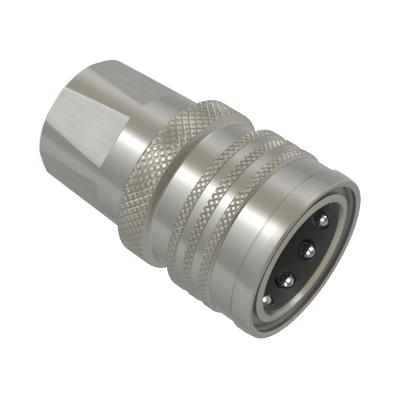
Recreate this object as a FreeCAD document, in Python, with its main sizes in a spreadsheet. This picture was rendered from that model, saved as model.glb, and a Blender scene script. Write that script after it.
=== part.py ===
import FreeCAD, Part
import Sketcher
import math
import os
from FreeCAD import Placement, Rotation, Vector

# Female half of a ball-lock hydraulic quick coupling, in millimetres.
# +Z runs along the axis from the threaded port (z = 0) to the mouth of the socket.

# Driving dimensions
SIZES = {
    # adapter body: port end with the wrench flats
    "across_flats": 27.0,
    "flat_count": 6,
    "flats_length": 16.9,
    "flats_runout": 1.2,
    "adapter_length": 25.5,
    "flat_corner": 0.5,
    "adapter_taper": 1.0,
    "adapter_edge": 0.35,
    "port_radius": 9.316,
    "port_depth": 13.0,
    "port_chamfer": 1.2,
    "drill_runout": 1.5,
    "shoulder_step": 1.0,
    "shoulder_thickness": 1.5,
    # screwed joint between the adapter and the front body
    "spigot_wall": 2.65,
    "thread_clearance": 0.05,
    "body_seal_section": 0.6,
    "body_seal_setback": 0.8,
    # front body: grip flange, neck and nose
    "flange_length": 6.25,
    "flange_step": 0.05,
    "flange_edge": 0.2,
    "flange_slope": 0.9,
    "flange_round": 0.5,
    "neck_fillet": 0.8,
    "neck_length": 7.75,
    "tip_step": 0.58,
    "lip_overhang": 0.76,
    "nose_crown": 0.28,
    "mouth_chamfer_width": 0.16,
    "mouth_chamfer_depth": 0.84,
    "guide_relief": 0.3,
    "socket_radius": 11.9,
    "socket_depth": 14.84,
    "floor_slope": 2.3,
    "throat_radius": 7.0,
    "throat_length": 1.6,
    "seat_width": 2.6,
    # locking balls
    "ball_count": 10,
    "ball_phase": 23.07,
    "ball_radius": 2.0,
    "ball_reach": 1.2,
    "ball_depth": 4.54,
    "pocket_clearance": 0.08,
    "pocket_land": 0.25,
    "ramp_clearance": 0.06,
    # release sleeve
    "coupling_length": 58.1,
    "sleeve_travel": 4.5,
    "stop_gap": 1.25,
    "slide_clearance": 0.08,
    "land_length": 1.7,
    "barrel_wall": 1.23,
    "strip_step": 0.32,
    "band_height": 0.24,
    "bead_step": 0.42,
    "band_width": 2.1,
    "band_pitch": 3.88,
    "band_edge": 0.12,
    "barrel_slope": 0.25,
    "bead_length": 3.86,
    "bead_relief_width": 0.45,
    "bead_relief_depth": 0.12,
    "bead_taper": 0.3,
    "bead_taper_length": 2.1,
    "lip_round": 0.6,
    "lip_flat": 0.05,
    "lip_chamfer_depth": 0.26,
    # retaining ring in the nose's groove
    "ring_depth": 0.9,
    "ring_thickness": 0.9,
    "ring_groove_depth": 0.83,
    "ring_side_clearance": 0.05,
    "ring_ramp_clearance": 0.12,
    "ring_gap_angle": 8.0,
    "ring_gap_place": 272.0,
    # socket seal
    "nipple_clearance": 0.15,
    "seal_section": 0.89,
    "seal_squeeze": 0.05,
    "seal_setback": 4.4,
    "backup_thickness": 1.1,
    "groove_side_clearance": 0.05,
    # valve
    "flow_gap": 1.2,
    "seat_gap": 0.3,
    "poppet_seal_section": 0.7,
    "poppet_seal_reach": 1.0,
    "seal_contact_gap": 0.02,
    "seal_bed_clearance": 0.02,
    "cone_tip_inset": 1.4,
    "pin_radius": 3.2,
    "pin_fillet": 0.8,
    "pin_round": 0.9,
    "pin_reach": 3.5,
    "head_rim": 1.0,
    "head_back": 1.3,
    "stem_radius": 2.5,
    "stem_overrun": 1.0,
    "guide_clearance": 0.07,
    "guide_thickness": 2.5,
    "guide_edge_clearance": 0.1,
    "guide_step": 1.8,
    "hub_wall": 1.13,
    "hub_height": 1.5,
    "flow_holes": 6,
    "flow_hole_radius": 1.4,
    "flow_hole_margin": 0.1,
    # springs
    "sleeve_wire_radius": 0.5,
    "spring_side_clearance": 0.17,
    "sleeve_spring_half_turns": 9,
    "valve_wire_radius": 0.55,
    "spring_hub_clearance": 0.95,
    "valve_spring_half_turns": 13,
    "spring_end_gap": 0.05,
}

# Places and fits that follow from the driving dimensions, as formulas of the sheet
FITS = {
    "flat_apothem": "Sizes.across_flats / 2",
    "adapter_rear_radius": "flat_apothem + Sizes.flat_corner",
    "adapter_front_radius": "adapter_rear_radius + Sizes.adapter_taper",
    "adapter_rear_edge_radius": "adapter_rear_radius - Sizes.adapter_edge",
    "flat_cut_radius": "adapter_front_radius + Sizes.flat_corner",
    "flat_cut_width": "2 * adapter_front_radius",
    "flat_cut_end": "Sizes.flats_length + Sizes.flats_runout",
    "port_mouth_radius": "Sizes.port_radius + Sizes.port_chamfer",
    "shoulder_radius": "Sizes.port_radius - Sizes.shoulder_step",
    "port_end": "Sizes.port_depth + Sizes.drill_runout",
    "guide_rear": "port_end + Sizes.shoulder_thickness",
    "spigot_rear": "guide_rear + Sizes.guide_thickness",
    "chamber_radius": "Sizes.throat_radius + Sizes.seat_width",
    "spigot_radius": "chamber_radius + Sizes.spigot_wall",
    "guide_seat_radius": "spigot_radius - Sizes.guide_step",
    "guide_radius": "guide_seat_radius - Sizes.guide_edge_clearance",
    "hub_top": "spigot_rear + Sizes.hub_height",
    "joint_radius": "spigot_radius + Sizes.thread_clearance",
    "body_groove_radius": "joint_radius - 2 * Sizes.body_seal_section - Sizes.groove_side_clearance",
    "body_groove_front": "Sizes.adapter_length - Sizes.body_seal_setback",
    "body_groove_width": "2 * Sizes.body_seal_section + 2 * Sizes.groove_side_clearance",
    "body_groove_rear": "body_groove_front - body_groove_width",
    "body_seal_radius": "joint_radius - Sizes.body_seal_section",
    "body_seal_station": "body_groove_front - body_groove_width / 2",
    "flange_radius": "strip_radius + Sizes.flange_step",
    "flange_edge_radius": "flange_radius - Sizes.flange_edge",
    "flange_rear_edge": "Sizes.adapter_length + Sizes.flange_edge",
    "flange_front": "Sizes.adapter_length + Sizes.flange_length",
    "neck_start": "flange_front + Sizes.flange_slope",
    "spring_shoulder": "neck_start + Sizes.neck_length",
    "nose_face": "Sizes.coupling_length - Sizes.lip_overhang",
    "nose_crest": "nose_face + Sizes.nose_crown",
    "mouth_chamfer_end": "nose_face - Sizes.mouth_chamfer_depth",
    "guide_bore_radius": "Sizes.socket_radius + Sizes.guide_relief",
    "mouth_radius": "guide_bore_radius + Sizes.mouth_chamfer_width",
    "guide_bore_end": "ball_station + pocket_radius + Sizes.pocket_land",
    "socket_floor": "nose_face - Sizes.socket_depth",
    "throat_front": "socket_floor - Sizes.floor_slope",
    "throat_rear": "throat_front - Sizes.throat_length",
    "seat_rear": "throat_rear - Sizes.seat_width",
    "ball_station": "nose_face - Sizes.ball_depth",
    "ball_centre_radius": "Sizes.socket_radius + Sizes.ball_radius - Sizes.ball_reach",
    "pocket_radius": "Sizes.ball_radius + Sizes.pocket_clearance",
    "pocket_reach": "nose_radius + Sizes.ball_radius",
    "ramp_slope": "Sizes.ball_reach / Sizes.sleeve_travel",
    "ramp_secant": "sqrt(1 + ramp_slope ^ 2)",
    "ramp_rear": "ball_station - Sizes.ball_radius * ramp_slope / ramp_secant",
    "land_radius": "ball_centre_radius + Sizes.ball_radius / ramp_secant + Sizes.ramp_clearance",
    "nose_radius": "land_radius - Sizes.slide_clearance",
    "nose_tip_radius": "nose_radius - Sizes.tip_step",
    "ring_groove_radius": "nose_tip_radius - Sizes.ring_groove_depth",
    "lip_bore": "Sizes.socket_radius + 2 * Sizes.ball_radius + Sizes.ramp_clearance",
    "ramp_front": "ramp_rear + (lip_bore - land_radius) / ramp_slope",
    "land_rear": "ramp_rear - Sizes.land_length",
    "sleeve_bore": "nose_radius + 2 * (Sizes.sleeve_wire_radius + Sizes.spring_side_clearance)",
    "neck_radius": "sleeve_bore - Sizes.slide_clearance",
    "barrel_radius": "sleeve_bore + Sizes.barrel_wall",
    "strip_radius": "barrel_radius + Sizes.strip_step",
    "band_radius": "strip_radius + Sizes.band_height",
    "bead_radius": "barrel_radius + Sizes.bead_step",
    "sleeve_rear": "neck_start + Sizes.sleeve_travel + Sizes.stop_gap",
    "band_1_rear": "sleeve_rear",
    "band_2_rear": "band_1_rear + Sizes.band_pitch",
    "band_3_rear": "band_2_rear + Sizes.band_pitch",
    "band_1_rear_edge": "band_1_rear + Sizes.band_edge",
    "band_2_rear_edge": "band_2_rear + Sizes.band_edge",
    "band_3_rear_edge": "band_3_rear + Sizes.band_edge",
    "band_1_front": "band_1_rear + Sizes.band_width",
    "band_2_front": "band_2_rear + Sizes.band_width",
    "band_3_front": "band_3_rear + Sizes.band_width",
    "band_1_front_edge": "band_1_front - Sizes.band_edge",
    "band_2_front_edge": "band_2_front - Sizes.band_edge",
    "band_3_front_edge": "band_3_front - Sizes.band_edge",
    "barrel_rear": "band_3_front + Sizes.barrel_slope",
    "bead_rear": "Sizes.coupling_length - Sizes.bead_length",
    "bead_relief_rear": "bead_rear - Sizes.bead_relief_width",
    "bead_relief_radius": "barrel_radius - Sizes.bead_relief_depth",
    "bead_taper_rear": "Sizes.coupling_length - Sizes.bead_taper_length",
    "bead_tip_radius": "bead_radius - Sizes.bead_taper",
    "lip_inner_radius": "bead_tip_radius - Sizes.lip_round - Sizes.lip_flat",
    "lip_chamfer_end": "Sizes.coupling_length - Sizes.lip_chamfer_depth",
    "ring_groove_front": "nose_face - Sizes.ring_depth",
    "ring_front": "ring_groove_front - Sizes.ring_side_clearance",
    "ring_rear": "ring_front - Sizes.ring_thickness",
    "ring_groove_rear": "ring_rear - Sizes.ring_side_clearance",
    "ring_inner_radius": "ring_groove_radius + Sizes.ring_side_clearance",
    "ramp_at_ring": "land_radius + ramp_slope * (ring_rear - ramp_rear)",
    "ring_outer_radius": "ramp_at_ring - Sizes.ring_ramp_clearance",
    "nipple_radius": "Sizes.socket_radius - Sizes.nipple_clearance",
    "seal_radius": "nipple_radius - Sizes.seal_squeeze + Sizes.seal_section",
    "seal_groove_radius": "seal_radius + Sizes.seal_section",
    "seal_groove_front": "ball_station - Sizes.seal_setback",
    "backup_front": "seal_groove_front - Sizes.groove_side_clearance",
    "backup_rear": "backup_front - Sizes.backup_thickness",
    "seal_station": "backup_rear - Sizes.groove_side_clearance - Sizes.seal_section",
    "seal_groove_rear": "seal_station - Sizes.seal_section - Sizes.groove_side_clearance",
    "backup_outer_radius": "seal_groove_radius - Sizes.groove_side_clearance",
    "head_radius": "chamber_radius - Sizes.flow_gap",
    "cone_tip_radius": "Sizes.throat_radius - Sizes.cone_tip_inset",
    "cone_drop": "Sizes.seat_gap * sqrt(2)",
    "cone_rim": "throat_rear - cone_drop - (head_radius - Sizes.throat_radius)",
    "cone_tip": "throat_rear - cone_drop + Sizes.cone_tip_inset",
    "rim_rear": "cone_rim - Sizes.head_rim",
    "head_rear": "rim_rear - Sizes.head_back",
    "valve_spring_radius": "hub_radius + Sizes.valve_wire_radius + Sizes.spring_hub_clearance",
    "spring_seat_radius": "valve_spring_radius + 2 * Sizes.valve_wire_radius",
    "pin_end": "socket_floor + Sizes.pin_reach",
    "stem_end": "guide_rear - Sizes.stem_overrun",
    "seal_lift": "(Sizes.poppet_seal_section + Sizes.seal_contact_gap) / sqrt(2)",
    "poppet_seal_radius": "Sizes.throat_radius + Sizes.poppet_seal_reach - seal_lift",
    "poppet_seal_station": "throat_rear - Sizes.poppet_seal_reach - seal_lift",
    "seal_bed_radius": "Sizes.poppet_seal_section + Sizes.seal_bed_clearance",
    "hub_bore": "Sizes.stem_radius + Sizes.guide_clearance",
    "hub_radius": "hub_bore + Sizes.hub_wall",
    "flow_circle_radius": "shoulder_radius - Sizes.flow_hole_radius - Sizes.flow_hole_margin",
    "sleeve_spring_radius": "(nose_radius + sleeve_bore) / 2",
    "sleeve_spring_length": "land_rear - spring_shoulder - Sizes.spring_end_gap",
    "valve_spring_length": "head_rear - spigot_rear - Sizes.spring_end_gap",
}

doc = FreeCAD.newDocument("QuickCoupling")


def fill_sheet(name, cells, sign):
    """Make a sheet with one named cell for each entry."""
    sheet = doc.addObject("Spreadsheet::Sheet", name)
    for row, (alias, content) in enumerate(cells.items(), start=1):
        sheet.set("A%d" % row, alias)
        sheet.set("B%d" % row, sign + str(content))
        sheet.setAlias("B%d" % row, alias)
    doc.recompute()
    return sheet


sizes = fill_sheet("Sizes", SIZES, "")
fits = fill_sheet("Fits", FITS, "=")


def value(alias):
    """The number in a named cell."""
    sheet = sizes if alias in SIZES else fits
    return float(sheet.get(alias))


def cell(alias):
    """The name of a cell as an expression."""
    return ("Sizes." if alias in SIZES else "Fits.") + alias


def origin_plane(body, role):
    """One of a body's own origin planes."""
    return next(item for item in body.Origin.OriginFeatures if item.Role == role)


def new_sketch(body, name, role="XZ_Plane"):
    """An empty sketch on one of the body's origin planes."""
    sketch = body.newObject("Sketcher::SketchObject", name)
    sketch.AttachmentSupport = [(origin_plane(body, role), "")]
    sketch.MapMode = "FlatFace"
    return sketch


def bind(sketch, kind, geometry, point, alias):
    """Set a distance from the sketch's origin to a point by a named cell."""
    number = sketch.addConstraint(Sketcher.Constraint(kind, -1, 1, geometry, point, value(alias)))
    sketch.setExpression("Constraints[%d]" % number, cell(alias))


def place_point(sketch, geometry, point, radius, height):
    """Fix a point at a named radius and height; None puts it on that axis of the sketch."""
    if radius is None:
        sketch.addConstraint(Sketcher.Constraint("PointOnObject", geometry, point, -2))
    else:
        bind(sketch, "DistanceX", geometry, point, radius)
    if height is None:
        sketch.addConstraint(Sketcher.Constraint("PointOnObject", geometry, point, -1))
    else:
        bind(sketch, "DistanceY", geometry, point, height)


def draw_outline(sketch, corners):
    """Close a straight-sided outline through corners given as pairs of cell names."""
    places = []
    for radius, height in corners:
        places.append(Vector(value(radius) if radius else 0, value(height) if height else 0, 0))
    count = len(corners)
    for number in range(count):
        sketch.addGeometry(Part.LineSegment(places[number], places[(number + 1) % count]))
    for number in range(count):
        sketch.addConstraint(Sketcher.Constraint("Coincident", number, 2, (number + 1) % count, 1))
    for number, (radius, height) in enumerate(corners):
        place_point(sketch, number, 1, radius, height)


def turned_body(label, corners):
    """A body turned about the axis from an outline of named radii and heights."""
    body = doc.addObject("PartDesign::Body", label)
    body.Label = label
    sketch = new_sketch(body, label + "_outline")
    draw_outline(sketch, corners)
    turn = body.newObject("PartDesign::Revolution", label + "_turn")
    turn.Profile = sketch
    turn.ReferenceAxis = (sketch, ["V_Axis"])
    turn.Angle = 360
    doc.recompute()
    return body


def round_edges(body, kind, alias, places):
    """Fillet or chamfer the turned edges at the given radii and heights."""
    names = []
    for number, edge in enumerate(body.Shape.Edges, start=1):
        if not isinstance(edge.Curve, Part.Circle):
            continue
        for radius, height in places:
            near_radius = abs(edge.Curve.Radius - value(radius)) < 1e-4
            near_height = abs(edge.Curve.Center.z - value(height)) < 1e-4
            if near_radius and near_height:
                names.append("Edge%d" % number)
    feature = body.newObject("PartDesign::" + kind, body.Label + "_" + alias)
    feature.Base = (body.Tip if body.Tip != feature else feature.BaseFeature, names)
    size_name = "Radius" if kind == "Fillet" else "Size"
    feature.setExpression(size_name, cell(alias))
    doc.recompute()
    return feature


def polar(body, feature, label, count_alias):
    """Repeat a feature round the axis."""
    pattern = body.newObject("PartDesign::PolarPattern", label)
    pattern.Originals = [feature]
    pattern.Axis = (feature.Profile[0], ["V_Axis"])
    pattern.Angle = 360
    pattern.setExpression("Occurrences", cell(count_alias))
    body.Tip = pattern
    doc.recompute()
    return pattern


def build_adapter():
    """Tapered port body with six milled wrench flats and the front thread bore."""
    body = turned_body("adapter_body", [
        ("port_mouth_radius", None),
        ("adapter_rear_edge_radius", None),
        ("adapter_rear_radius", "adapter_edge"),
        ("adapter_front_radius", "adapter_length"),
        ("joint_radius", "adapter_length"),
        ("joint_radius", "spigot_rear"),
        ("guide_seat_radius", "spigot_rear"),
        ("guide_seat_radius", "guide_rear"),
        ("shoulder_radius", "guide_rear"),
        ("shoulder_radius", "port_end"),
        ("port_radius", "port_end"),
        ("port_radius", "port_chamfer"),
    ])
    # one flat, cut across the piece from its side view, with the cutter's sloped run-out at its end
    sketch = new_sketch(body, "flat_outline", "YZ_Plane")
    draw_outline(sketch, [
        ("flat_apothem", None),
        ("flat_cut_radius", None),
        ("flat_cut_radius", "flat_cut_end"),
        ("flat_apothem", "flats_length"),
    ])
    flat = body.newObject("PartDesign::Pocket", "wrench_flat")
    flat.Profile = sketch
    flat.SideType = "Symmetric"
    flat.setExpression("Length", cell("flat_cut_width"))
    doc.recompute()
    polar(body, flat, "wrench_flats", "flat_count")
    return body


def build_front_body():
    """Socket body: spigot, knurl-wide grip flange, neck, nose, seal groove and valve seat."""
    body = turned_body("front_body", [
        ("chamber_radius", "spigot_rear"),
        ("spigot_radius", "spigot_rear"),
        ("spigot_radius", "body_groove_rear"),
        ("body_groove_radius", "body_groove_rear"),
        ("body_groove_radius", "body_groove_front"),
        ("spigot_radius", "body_groove_front"),
        ("spigot_radius", "adapter_length"),
        ("flange_edge_radius", "adapter_length"),
        ("flange_radius", "flange_rear_edge"),
        ("flange_radius", "flange_front"),
        ("neck_radius", "neck_start"),
        ("neck_radius", "spring_shoulder"),
        ("nose_radius", "spring_shoulder"),
        ("nose_radius", "ring_groove_rear"),
        ("ring_groove_radius", "ring_groove_rear"),
        ("ring_groove_radius", "ring_groove_front"),
        ("nose_tip_radius", "ring_groove_front"),
        ("nose_tip_radius", "nose_face"),
        ("mouth_radius", "nose_crest"),
        ("guide_bore_radius", "mouth_chamfer_end"),
        ("guide_bore_radius", "guide_bore_end"),
        ("socket_radius", "guide_bore_end"),
        ("socket_radius", "seal_groove_front"),
        ("seal_groove_radius", "seal_groove_front"),
        ("seal_groove_radius", "seal_groove_rear"),
        ("socket_radius", "seal_groove_rear"),
        ("socket_radius", "socket_floor"),
        ("throat_radius", "throat_front"),
        ("throat_radius", "throat_rear"),
        ("chamber_radius", "seat_rear"),
    ])
    round_edges(body, "Fillet", "flange_round", [("flange_radius", "flange_front")])
    round_edges(body, "Fillet", "neck_fillet", [("neck_radius", "neck_start")])
    # ball pocket: a radial hole from outside that ends in a round seat, so a lip keeps the ball
    sketch = new_sketch(body, "ball_pocket_outline")
    centre = Vector(value("ball_centre_radius"), value("ball_station"), 0)
    radius = value("pocket_radius")
    reach = value("pocket_reach")
    arc = sketch.addGeometry(Part.ArcOfCircle(
        Part.Circle(centre, Vector(0, 0, 1), radius), math.pi / 2, math.pi))
    top = sketch.addGeometry(Part.LineSegment(
        centre + Vector(0, radius, 0), Vector(reach, centre.y + radius, 0)))
    end = sketch.addGeometry(Part.LineSegment(
        Vector(reach, centre.y + radius, 0), Vector(reach, centre.y, 0)))
    middle = sketch.addGeometry(Part.LineSegment(
        Vector(reach, centre.y, 0), centre - Vector(radius, 0, 0)))
    axis = sketch.addGeometry(Part.LineSegment(centre, Vector(reach, centre.y, 0)), True)
    sketch.addConstraint(Sketcher.Constraint("Tangent", arc, 1, top, 1))
    sketch.addConstraint(Sketcher.Constraint("Coincident", top, 2, end, 1))
    sketch.addConstraint(Sketcher.Constraint("Coincident", end, 2, middle, 1))
    sketch.addConstraint(Sketcher.Constraint("Coincident", middle, 2, arc, 2))
    sketch.addConstraint(Sketcher.Constraint("PointOnObject", arc, 3, middle))
    sketch.addConstraint(Sketcher.Constraint("Horizontal", top))
    sketch.addConstraint(Sketcher.Constraint("Horizontal", middle))
    sketch.addConstraint(Sketcher.Constraint("Coincident", axis, 1, arc, 3))
    sketch.addConstraint(Sketcher.Constraint("Coincident", axis, 2, end, 2))
    sketch.addConstraint(Sketcher.Constraint("Vertical", end))
    place_point(sketch, arc, 3, "ball_centre_radius", "ball_station")
    bind(sketch, "DistanceX", end, 1, "pocket_reach")
    size = sketch.addConstraint(Sketcher.Constraint("Radius", arc, radius))
    sketch.setExpression("Constraints[%d]" % size, cell("pocket_radius"))
    pocket = body.newObject("PartDesign::Groove", "ball_pocket")
    pocket.Profile = sketch
    pocket.ReferenceAxis = (sketch, ["Axis0"])
    pocket.Angle = 360
    doc.recompute()
    polar(body, pocket, "ball_pockets", "ball_count")
    turn = Rotation(Vector(0, 0, 1), value("ball_phase"))
    body.Placement = Placement(Vector(0, 0, 0), turn)
    doc.recompute()
    return body


def build_sleeve():
    """Release sleeve: three raised bands, barrel, relief, bead and lip outside; land and ramp inside."""
    corners = [
        ("sleeve_bore", "sleeve_rear"),
    ]
    for number in range(1, 4):
        rear = "band_%d_rear" % number
        front = "band_%d_front" % number
        corners += [
            ("strip_radius", rear),
            ("band_radius", rear + "_edge"),
            ("band_radius", front + "_edge"),
            ("strip_radius", front),
        ]
    corners += [
        ("barrel_radius", "barrel_rear"),
        ("barrel_radius", "bead_relief_rear"),
        ("bead_relief_radius", "bead_relief_rear"),
        ("bead_relief_radius", "bead_rear"),
        ("bead_radius", "bead_rear"),
        ("bead_radius", "bead_taper_rear"),
        ("bead_tip_radius", "coupling_length"),
        ("lip_inner_radius", "coupling_length"),
        ("lip_bore", "lip_chamfer_end"),
        ("lip_bore", "ramp_front"),
        ("land_radius", "ramp_rear"),
        ("land_radius", "land_rear"),
        ("sleeve_bore", "land_rear"),
    ]
    body = turned_body("sleeve", corners)
    round_edges(body, "Fillet", "lip_round", [("bead_tip_radius", "coupling_length")])
    return body


def build_retaining_ring():
    """Split ring that stops the sleeve, sprung into the nose's groove."""
    body = turned_body("sleeve_retaining_ring", [
        ("ring_inner_radius", "ring_rear"),
        ("ring_outer_radius", "ring_rear"),
        ("ring_outer_radius", "ring_front"),
        ("ring_inner_radius", "ring_front"),
    ])
    turn = doc.getObject("sleeve_retaining_ring_turn")
    turn.setExpression("Angle", "360 - Sizes.ring_gap_angle")
    body.Placement = Placement(Vector(0, 0, 0), Rotation(Vector(0, 0, 1), value("ring_gap_place")))
    doc.recompute()
    return body


def build_ball(number):
    """One locking ball in its pocket, held in by the sleeve's land."""
    label = "locking_ball_%02d" % (number + 1)
    ball = doc.addObject("Part::Sphere", label)
    ball.Label = label
    ball.setExpression("Radius", cell("ball_radius"))
    angle = "(Sizes.ball_phase + 360 * %d / Sizes.ball_count) * 1 deg" % number
    ball.setExpression("Placement.Base.x", "Fits.ball_centre_radius * cos(%s)" % angle)
    ball.setExpression("Placement.Base.y", "Fits.ball_centre_radius * sin(%s)" % angle)
    ball.setExpression("Placement.Base.z", cell("ball_station"))
    doc.recompute()
    return ball


def build_ring_seal(label, radius, section, station):
    """An O-ring at a named radius and height."""
    seal = doc.addObject("Part::Torus", label)
    seal.Label = label
    seal.setExpression("Radius1", cell(radius))
    seal.setExpression("Radius2", cell(section))
    seal.setExpression("Placement.Base.z", cell(station))
    doc.recompute()
    return seal


def build_backup_ring():
    """Flat plastic ring on the mouth side of the socket's O-ring."""
    return turned_body("backup_ring", [
        ("socket_radius", "backup_rear"),
        ("backup_outer_radius", "backup_rear"),
        ("backup_outer_radius", "backup_front"),
        ("socket_radius", "backup_front"),
    ])


def build_poppet():
    """Shut-off valve: stem, head, sealing cone and nose pin, with a bed for its O-ring."""
    body = turned_body("poppet", [
        (None, "stem_end"),
        ("stem_radius", "stem_end"),
        ("stem_radius", "head_rear"),
        ("spring_seat_radius", "head_rear"),
        ("head_radius", "rim_rear"),
        ("head_radius", "cone_rim"),
        ("cone_tip_radius", "cone_tip"),
        ("pin_radius", "cone_tip"),
        ("pin_radius", "pin_end"),
        (None, "pin_end"),
    ])
    sketch = new_sketch(body, "seal_bed_outline")
    centre = Vector(value("poppet_seal_radius"), value("poppet_seal_station"), 0)
    sketch.addGeometry(Part.Circle(centre, Vector(0, 0, 1), value("seal_bed_radius")))
    place_point(sketch, 0, 3, "poppet_seal_radius", "poppet_seal_station")
    size = sketch.addConstraint(Sketcher.Constraint("Radius", 0, value("seal_bed_radius")))
    sketch.setExpression("Constraints[%d]" % size, cell("seal_bed_radius"))
    bed = body.newObject("PartDesign::Groove", "seal_bed")
    bed.Profile = sketch
    bed.ReferenceAxis = (sketch, ["V_Axis"])
    bed.Angle = 360
    doc.recompute()
    round_edges(body, "Fillet", "pin_fillet", [("pin_radius", "cone_tip")])
    round_edges(body, "Fillet", "pin_round", [("pin_radius", "pin_end")])
    return body


def build_valve_guide():
    """Drilled disc with a hub for the poppet's stem, clamped between adapter and spigot."""
    body = turned_body("valve_guide", [
        ("hub_bore", "guide_rear"),
        ("guide_radius", "guide_rear"),
        ("guide_radius", "spigot_rear"),
        ("hub_radius", "spigot_rear"),
        ("hub_radius", "hub_top"),
        ("hub_bore", "hub_top"),
    ])
    sketch = new_sketch(body, "flow_hole_outline", "XY_Plane")
    centre = Vector(value("flow_circle_radius"), 0, 0)
    sketch.addGeometry(Part.Circle(centre, Vector(0, 0, 1), value("flow_hole_radius")))
    place_point(sketch, 0, 3, "flow_circle_radius", None)
    size = sketch.addConstraint(Sketcher.Constraint("Radius", 0, value("flow_hole_radius")))
    sketch.setExpression("Constraints[%d]" % size, cell("flow_hole_radius"))
    hole = body.newObject("PartDesign::Pocket", "flow_hole")
    hole.Profile = sketch
    hole.Type = "ThroughAll"
    hole.Reversed = True
    doc.recompute()
    pattern = body.newObject("PartDesign::PolarPattern", "flow_hole_pattern")
    pattern.Originals = [hole]
    pattern.Axis = (sketch, ["N_Axis"])
    pattern.Angle = 360
    pattern.setExpression("Occurrences", cell("flow_holes"))
    body.Tip = pattern
    doc.recompute()
    return body


def build_spring(label, radius, wire, half_turns, rear, length):
    """Compression spring with flat end coils, standing on a named height.

    Each half turn is a tilted half circle, and all of them meet square to the Y axis.
    """
    coil_radius = value(radius)
    wire_radius = value(wire)
    count = int(value(half_turns))
    rise = (value(length) - 2 * wire_radius) / (count - 2)
    height = wire_radius
    side = 1
    runs = []
    for number in range(count):
        step = rise if 0 < number < count - 1 else 0
        start = Vector(side * coil_radius, 0, height)
        centre = Vector(0, 0, height + step / 2)
        heading = Vector(0, side, 0)
        axis = (start - centre).cross(heading)
        section = Part.Face(Part.Wire(Part.makeCircle(wire_radius, start, heading)))
        runs.append(section.revolve(centre, axis, 180))
        height += step
        side = -side
    spring = doc.addObject("Part::Feature", label)
    spring.Label = label
    spring.Shape = runs[0].multiFuse(runs[1:]).removeSplitter()
    spring.Placement = Placement(Vector(0, 0, value(rear)), Rotation())
    doc.recompute()
    return spring


def build_all():
    """Every piece of the coupling, as document objects."""
    pieces = [
        build_adapter(),
        build_front_body(),
        build_sleeve(),
        build_retaining_ring(),
    ]
    for number in range(int(value("ball_count"))):
        pieces.append(build_ball(number))
    pieces += [
        build_spring("sleeve_spring", "sleeve_spring_radius", "sleeve_wire_radius",
                     "sleeve_spring_half_turns", "spring_shoulder", "sleeve_spring_length"),
        build_poppet(),
        build_ring_seal("poppet_seal", "poppet_seal_radius", "poppet_seal_section", "poppet_seal_station"),
        build_spring("valve_spring", "valve_spring_radius", "valve_wire_radius",
                     "valve_spring_half_turns", "spigot_rear", "valve_spring_length"),
        build_valve_guide(),
        build_ring_seal("nipple_seal", "seal_radius", "seal_section", "seal_station"),
        build_backup_ring(),
        build_ring_seal("body_seal", "body_seal_radius", "body_seal_section", "body_seal_station"),
    ]
    return pieces


def check(pieces):
    """Stop if any object failed or any piece is not one sound solid."""
    for item in doc.Objects:
        if "Invalid" in item.State or "Error" in item.State:
            raise RuntimeError("%s failed: %s" % (item.Name, item.State))
    for piece in pieces:
        shape = piece.Shape
        if shape.isNull() or not shape.isValid() or len(shape.Solids) != 1:
            raise RuntimeError("%s is not one valid solid" % piece.Label)


pieces = build_all()
check(pieces)
os.makedirs("parts", exist_ok=True)
for piece in pieces:
    piece.Shape.exportStep("parts/%s.step" % piece.Label)
    print("%-24s %9.1f mm3" % (piece.Label, piece.Shape.Volume))
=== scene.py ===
import math
import bmesh
import bpy
import numpy as np
from mathutils import Matrix, Vector


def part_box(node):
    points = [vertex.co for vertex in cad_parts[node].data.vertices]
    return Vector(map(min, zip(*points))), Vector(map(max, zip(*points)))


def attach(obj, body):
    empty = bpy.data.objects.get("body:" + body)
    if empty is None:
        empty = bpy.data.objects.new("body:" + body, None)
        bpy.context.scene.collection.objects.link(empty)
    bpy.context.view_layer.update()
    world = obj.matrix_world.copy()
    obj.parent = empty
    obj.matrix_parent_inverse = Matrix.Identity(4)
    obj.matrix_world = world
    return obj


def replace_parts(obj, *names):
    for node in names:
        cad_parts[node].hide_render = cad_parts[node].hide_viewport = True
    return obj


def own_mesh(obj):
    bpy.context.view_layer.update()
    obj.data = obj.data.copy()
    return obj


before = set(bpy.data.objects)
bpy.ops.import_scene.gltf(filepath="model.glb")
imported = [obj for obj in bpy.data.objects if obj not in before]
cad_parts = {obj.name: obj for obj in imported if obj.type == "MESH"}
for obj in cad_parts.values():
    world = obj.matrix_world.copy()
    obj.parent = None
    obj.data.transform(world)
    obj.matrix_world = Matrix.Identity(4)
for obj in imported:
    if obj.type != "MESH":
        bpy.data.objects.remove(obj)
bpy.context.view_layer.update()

# Lengths are in millimetres, as in the part's own source, and angles that are set here in degrees.
# The floor, the lamps, the camera's near and far limits and the marks in the materials are in metres.
MM = 0.001
TURN = 2 * math.pi

# Adapter body
FLAT_COUNT = 6
FLAT_APOTHEM = 13.5
FLATS_END = 16.9
FLATS_RUNOUT = 1.2
FLATS_RUNOUT_SLOPE = 0.6
ADAPTER_END = 25.5
ADAPTER_REAR_RADIUS = 14.0
ADAPTER_FRONT_RADIUS = 15.0
ADAPTER_EDGE = 0.35
FLAT_BREAK = 0.06
PORT_RADIUS = 9.316
PORT_MOUTH_RADIUS = 10.516
PORT_CHAMFER = 1.2
PORT_THREAD_END = 13.0
PORT_END = 14.5
THREAD_PITCH = 1.814
THREAD_DEPTH = 1.16
THREAD_STEEPNESS = 1.25
THREAD_CREST = 0.1
THREAD_FADE = 1.4
SHOULDER_RADIUS = 8.316
GUIDE_REAR = 16.0
GUIDE_SEAT_RADIUS = 10.45
SPIGOT_REAR = 18.5
JOINT_RADIUS = 12.3

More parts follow.
